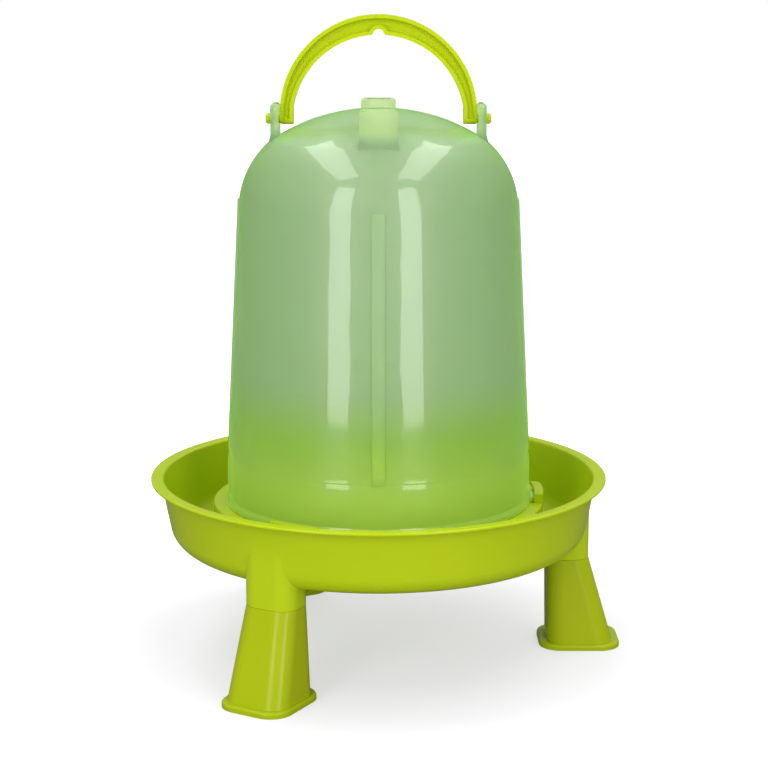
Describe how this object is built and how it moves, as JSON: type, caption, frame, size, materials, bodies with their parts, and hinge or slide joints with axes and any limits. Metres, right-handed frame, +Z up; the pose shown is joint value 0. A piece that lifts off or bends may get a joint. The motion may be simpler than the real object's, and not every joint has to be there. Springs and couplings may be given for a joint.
{
  "type": "poultry drinker",
  "caption": "Round drinking trough on push-on legs, with a twist-on translucent water tank under an arched carry handle, for hens and other poultry.",
  "frame": {"origin": "on the floor, at the middle of the whole drinker's outline; the tank's own axis stands 6.3 mm towards -X of it, because the right foot reaches past the rim", "axes": "+Z up the tank; +X to the right foot and along the handle's pivot; the picture looks along +Y"},
  "size_m": [0.3476, 0.335, 0.4634],
  "materials": {
    "trough_plastic": "opaque lime green, satin gloss",
    "tank_plastic": "milky translucent, light green, satin gloss"
  },
  "bodies": {
    "base": {"drinking_bowl": "trough_plastic", "leg_right": "trough_plastic", "leg_rear_left": "trough_plastic", "leg_front_left": "trough_plastic"},
    "tank": {"water_tank": "tank_plastic"},
    "handle": {"carry_handle": "trough_plastic"}
  },
  "joints": [
    {"name": "tank_twist", "type": "hinge", "parent": "base", "child": "tank", "pos_m": [-0.0063, 0, 0.1112], "axis": [0, 0, 1], "range_deg": [0, 20]},
    {"name": "handle_swing", "type": "hinge", "parent": "tank", "child": "handle", "pos_m": [-0.0063, 0, 0.3902], "axis": [1, 0, 0], "range_deg": [-75, 75]}
  ]
}
